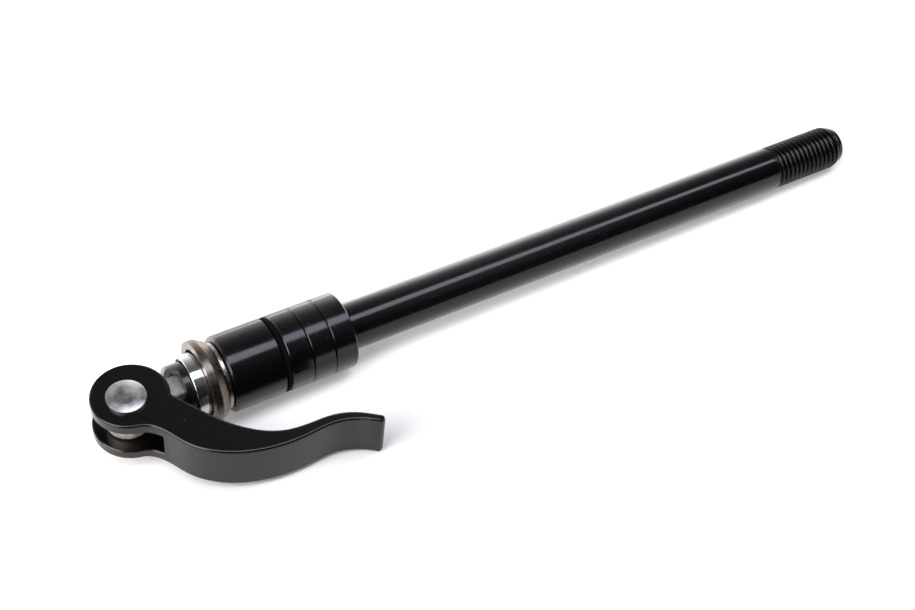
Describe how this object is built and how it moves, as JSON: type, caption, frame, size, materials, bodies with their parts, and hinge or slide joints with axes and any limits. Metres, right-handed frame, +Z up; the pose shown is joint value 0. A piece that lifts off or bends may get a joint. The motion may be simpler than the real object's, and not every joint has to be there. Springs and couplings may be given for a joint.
{
  "type": "bicycle thru axle",
  "caption": "Quick-release bicycle thru axle: hollow M12 axle with a threaded end, forked cam lever on an eye stud, cam follower, washers and sliding spacers.",
  "frame": {"origin": "on the axle's axis at the seat face of the last spacer ring", "axes": "+X along the axle towards its thread, +Z up as the axle lies on a table, lever on the -Y side"},
  "size_m": [0.2208, 0.0437, 0.0206],
  "materials": {
    "anodised_axle": "gloss black anodised",
    "anodised_spacer": "gloss black anodised",
    "anodised_lever": "satin black anodised",
    "stud_steel": "forged, zinc plated",
    "pin_steel": "turned stainless steel",
    "follower_plastic": "moulded black",
    "polished_cup": "polished steel",
    "nickel_washer": "nickel plated",
    "washer_steel": "bright steel",
    "ring_rubber": "matte"
  },
  "bodies": {
    "axle": {"axle_shaft": "anodised_axle", "tongue_stud": "stud_steel"},
    "lever": {"lever": "anodised_lever", "pivot_pin": "pin_steel"},
    "follower": {"cam_cup": "polished_cup", "taper_washer": "nickel_washer", "thin_washer": "washer_steel"},
    "saddle": {"cam_saddle": "follower_plastic"},
    "sleeve": {"long_sleeve": "anodised_spacer", "rubber_ring": "ring_rubber"},
    "ring_1": {"spacer_ring_1": "anodised_spacer"},
    "ring_2": {"spacer_ring_2": "anodised_spacer"},
    "ring_3": {"spacer_ring_3": "anodised_spacer"}
  },
  "joints": [
    {"name": "lever_hinge", "type": "hinge", "parent": "axle", "child": "lever", "pos_m": [-0.05617, -0.00117, -0.00013], "axis": [0, 0.1069, -0.9943], "range_deg": [0, 180]},
    {"name": "follower_slide", "type": "slide", "parent": "axle", "child": "follower", "axis": [-1, 0, 0], "range_m": [0, 0.00216]},
    {"name": "saddle_turn", "type": "hinge", "parent": "follower", "child": "saddle", "pos_m": [-0.03736, 0, 0], "axis": [1, 0, 0], "continuous": true},
    {"name": "sleeve_slide", "type": "slide", "parent": "follower", "child": "sleeve", "axis": [1, 0, 0], "range_m": [0, 0.032]},
    {"name": "ring_1_slide", "type": "slide", "parent": "sleeve", "child": "ring_1", "axis": [1, 0, 0], "range_m": [0, 0.032]},
    {"name": "ring_2_slide", "type": "slide", "parent": "ring_1", "child": "ring_2", "axis": [1, 0, 0], "range_m": [0, 0.032]},
    {"name": "ring_3_slide", "type": "slide", "parent": "ring_2", "child": "ring_3", "axis": [1, 0, 0], "range_m": [0, 0.032]}
  ],
  "couplings": [
    {"joint": "follower_slide", "follows": "lever_hinge", "m_per_rad": 0.0006875}
  ]
}
